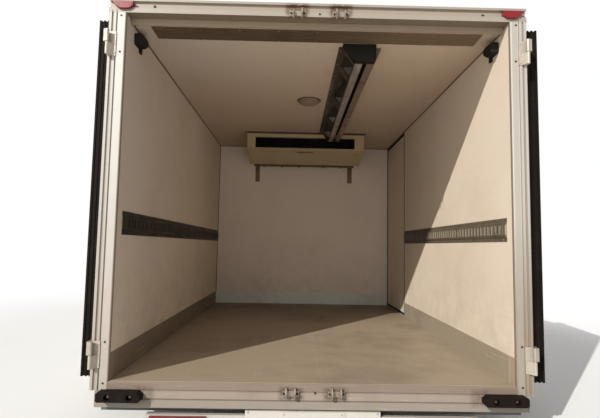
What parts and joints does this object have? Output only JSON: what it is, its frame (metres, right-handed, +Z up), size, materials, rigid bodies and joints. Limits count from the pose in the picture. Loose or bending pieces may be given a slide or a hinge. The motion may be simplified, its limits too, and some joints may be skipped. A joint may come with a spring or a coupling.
{
  "type": "refrigerated truck body",
  "caption": "Insulated box body with open rear doors, load rails, ceiling evaporator, hanging rail and a side door, on subframe runners.",
  "frame": {"origin": "centre of the chassis bolt pattern, level with the undersides of the subframe runners", "axes": "+X to the right seen from the rear doors, +Y from the rear doors to the front wall, +Z up"},
  "size_m": [2.5577, 3.701, 2.336],
  "materials": {
    "panel_white": "glossy glass-fibre skin, yellowed a little inside",
    "frame_white": "white paint, chalky, with scuffs",
    "sill_metal": "white paint worn through to grey metal",
    "floor_sheet": "worn anti-slip sheet",
    "kick_grey": "scuffed zinc-grey sheet",
    "rail_steel": "dull galvanised steel",
    "strip_brown": "bare metal gone brown, fine ribs",
    "rail_dark": "dark anodised, dusty",
    "cream_housing": "cream enamel",
    "coil_metal": "fins and copper tube",
    "lamp_glass": "frosted lens",
    "red_lens": "moulded lens",
    "amber_lens": "moulded lens",
    "black_rubber": "matt rubber",
    "black_plastic": "moulded, matt",
    "lock_steel": "zinc plated, weathered",
    "keeper_dark": "dark cast steel with bright worn edges",
    "trim_aluminium": "extruded, satin",
    "subframe_grey": "grey chassis paint",
    "condenser_white": "moulded cover",
    "plate_white": "blank plate"
  },
  "bodies": {
    "box": {"floor_panel": "panel_white", "load_floor": "floor_sheet", "wall_left": "panel_white", "wall_right": "panel_white", "roof_panel": "panel_white", "front_wall": "panel_white", "rear_post_left": "frame_white", "rear_post_right": "frame_white", "frame_seals": "black_rubber", "rear_header": "frame_white", "rear_sill": "sill_metal", "roof_edge_trims": "trim_aluminium", "floor_edge_trims": "trim_aluminium", "front_corner_posts": "trim_aluminium", "side_door_frame": "trim_aluminium", "load_rails": "rail_steel", "kick_plates": "kick_grey", "ceiling_strip": "strip_brown", "corner_blocks": "black_plastic", "hanging_rail": "rail_dark", "rail_end_cap": "black_plastic", "hanging_rail_fittings": "lock_steel", "ceiling_lamp": "lamp_glass", "evaporator_housing": "cream_housing", "evaporator_coil": "coil_metal", "hook_bar": "rail_steel", "marker_lamps": "red_lens", "buffers": "black_rubber", "lock_keepers": "keeper_dark", "frame_hinges": "lock_steel", "subframe_runners": "subframe_grey", "crossmembers": "subframe_grey", "mounting_consoles": "subframe_grey", "lamp_bar": "frame_white", "tail_lamps": "red_lens", "plate_carrier": "plate_white", "side_markers": "amber_lens", "door_holdbacks": "lock_steel", "condenser_housing": "condenser_white", "condenser_coil": "coil_metal", "fan_guards": "black_plastic", "side_frame_hinges": "lock_steel"},
    "rear_door_left": {"rear_door_left_panel": "panel_white", "rear_door_left_gasket": "black_rubber", "rear_door_left_hinges": "lock_steel", "rear_door_left_lock": "lock_steel"},
    "rear_door_right": {"rear_door_right_panel": "panel_white", "rear_door_right_gasket": "black_rubber", "rear_door_right_hinges": "lock_steel", "rear_door_right_lock": "lock_steel"},
    "side_door": {"side_door_panel": "panel_white", "side_door_gasket": "black_rubber", "side_door_hinges": "lock_steel", "side_door_lock": "lock_steel"},
    "condenser_fan_left": {"condenser_fan_left": "black_plastic"},
    "condenser_fan_right": {"condenser_fan_right": "black_plastic"}
  },
  "joints": [
    {"name": "rear_door_left_hinge", "type": "hinge", "parent": "box", "child": "rear_door_left", "pos_m": [-1.136, -1.65, 1.28], "axis": [0, 0, -1], "range_deg": [-270, 0]},
    {"name": "rear_door_right_hinge", "type": "hinge", "parent": "box", "child": "rear_door_right", "pos_m": [1.136, -1.65, 1.28], "axis": [0, 0, 1], "range_deg": [-264, 6]},
    {"name": "side_door_hinge", "type": "hinge", "parent": "box", "child": "side_door", "pos_m": [1.148, 1.632, 1.27], "axis": [0, 0, 1], "range_deg": [0, 100]},
    {"name": "condenser_fan_left_spin", "type": "hinge", "parent": "box", "child": "condenser_fan_left", "pos_m": [-0.27, 1.975, 1.969], "axis": [0, 1, 0], "continuous": true},
    {"name": "condenser_fan_right_spin", "type": "hinge", "parent": "box", "child": "condenser_fan_right", "pos_m": [0.27, 1.975, 1.969], "axis": [0, 1, 0], "continuous": true}
  ]
}
